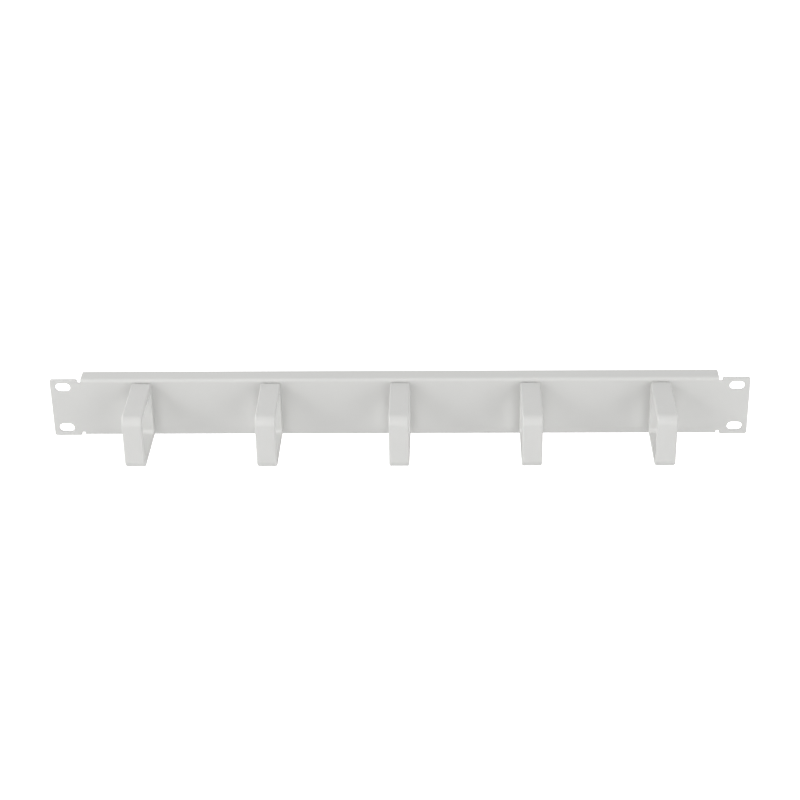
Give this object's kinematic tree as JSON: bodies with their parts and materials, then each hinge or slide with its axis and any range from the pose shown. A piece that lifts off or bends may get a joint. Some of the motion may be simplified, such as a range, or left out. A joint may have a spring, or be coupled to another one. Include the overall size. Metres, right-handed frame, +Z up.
{
  "type": "horizontal cable manager",
  "caption": "One-unit panel for a 19-inch rack, folded back along both long edges, with a row of closed moulded rings that guide patch leads across its front.",
  "frame": {"origin": "middle of the panel's front face, which is the middle of its four rack slots", "axes": "+X to the right along the panel as seen from the front, +Y into the rack, +Z up"},
  "size_m": [0.4826, 0.064, 0.044],
  "materials": {
    "painted_steel": "light grey powder coat with a fine, even texture",
    "ring_plastic": "light grey moulded plastic, matte",
    "screw_zinc": "bright zinc plate"
  },
  "bodies": {
    "root": {"panel": "painted_steel", "ring_1": "ring_plastic", "ring_1_screw_upper": "screw_zinc", "ring_1_screw_lower": "screw_zinc", "ring_2": "ring_plastic", "ring_2_screw_upper": "screw_zinc", "ring_2_screw_lower": "screw_zinc", "ring_3": "ring_plastic", "ring_3_screw_upper": "screw_zinc", "ring_3_screw_lower": "screw_zinc", "ring_4": "ring_plastic", "ring_4_screw_upper": "screw_zinc", "ring_4_screw_lower": "screw_zinc", "ring_5": "ring_plastic", "ring_5_screw_upper": "screw_zinc", "ring_5_screw_lower": "screw_zinc"}
  },
  "joints": []
}
